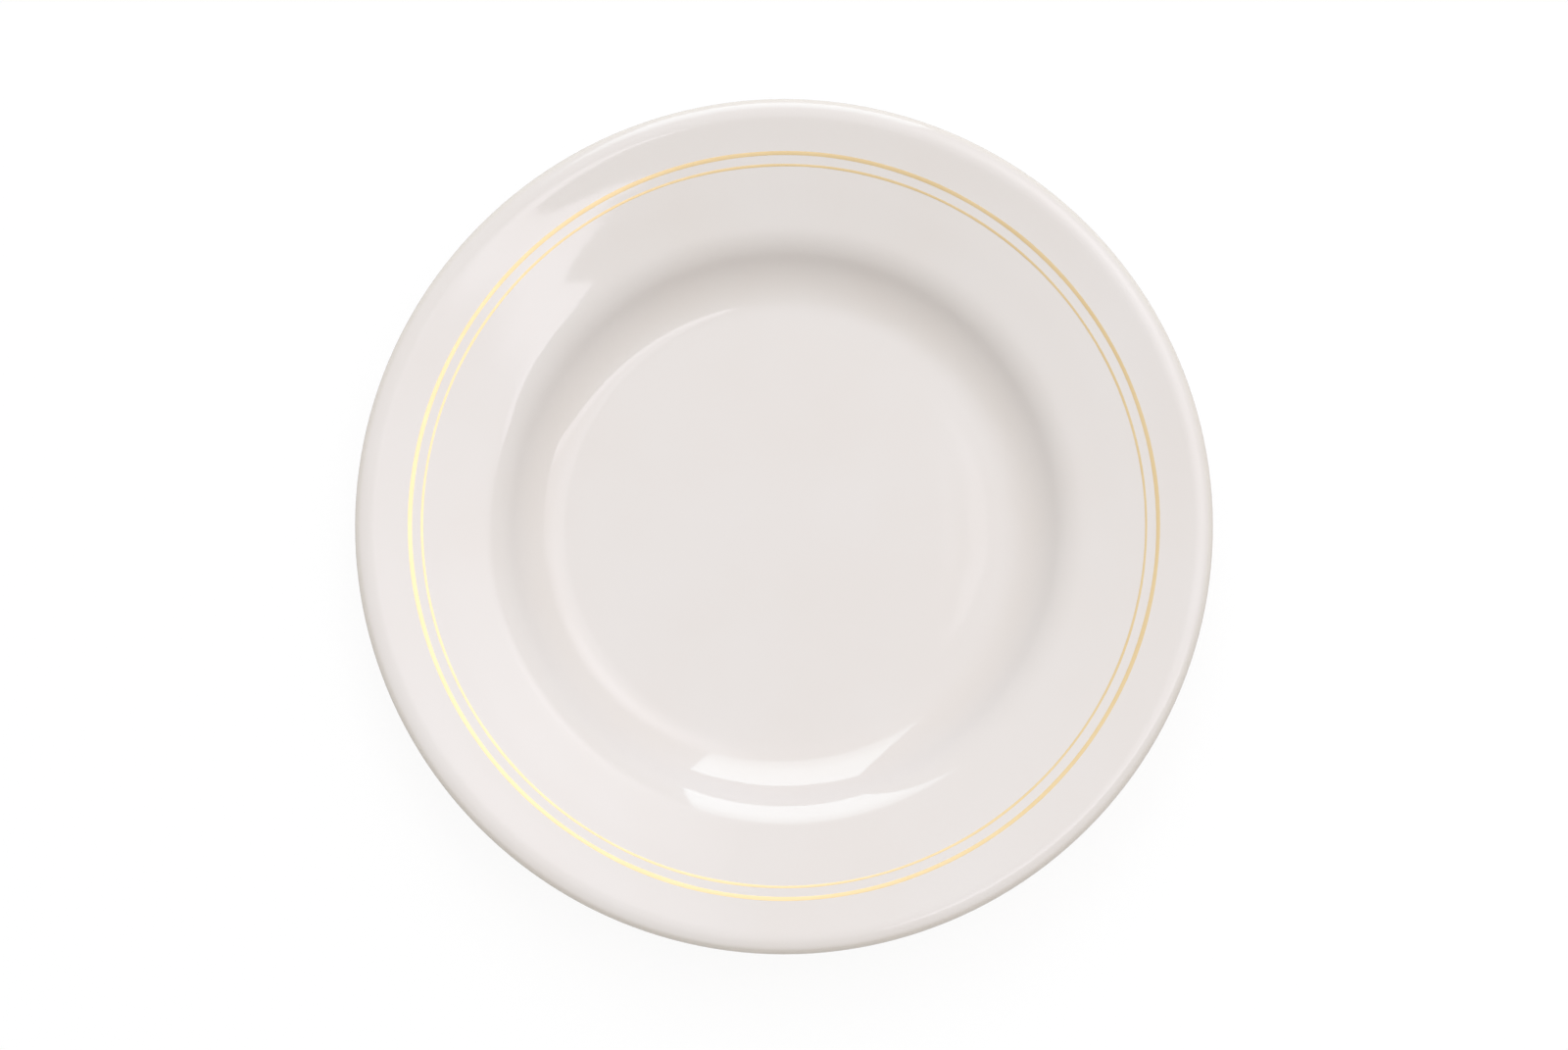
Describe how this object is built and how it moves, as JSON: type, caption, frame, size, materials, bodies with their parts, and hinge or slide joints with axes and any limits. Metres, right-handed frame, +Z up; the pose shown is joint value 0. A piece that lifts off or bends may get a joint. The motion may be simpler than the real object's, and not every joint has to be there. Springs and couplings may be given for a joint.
{
  "type": "bread plate",
  "caption": "Round glazed china bread plate with a flat well, a coved wall, a broad sloping rim with a rolled lip, fine gold lines on the rim and a bare foot ring to stand on.",
  "frame": {"origin": "centre of the foot ring's standing face, on the table", "axes": "+Z up along the plate's axis of revolution, out of the well; X and Y lie in the table's plane and are alike"},
  "size_m": [0.16, 0.16, 0.0166],
  "materials": {
    "china": "matte",
    "glaze": "gloss",
    "gold": "polished"
  },
  "bodies": {
    "root": {"china_body": "china", "glaze_coat": "glaze", "base_glaze": "glaze", "outer_gold_line": "gold", "inner_gold_line": "gold"}
  },
  "joints": []
}
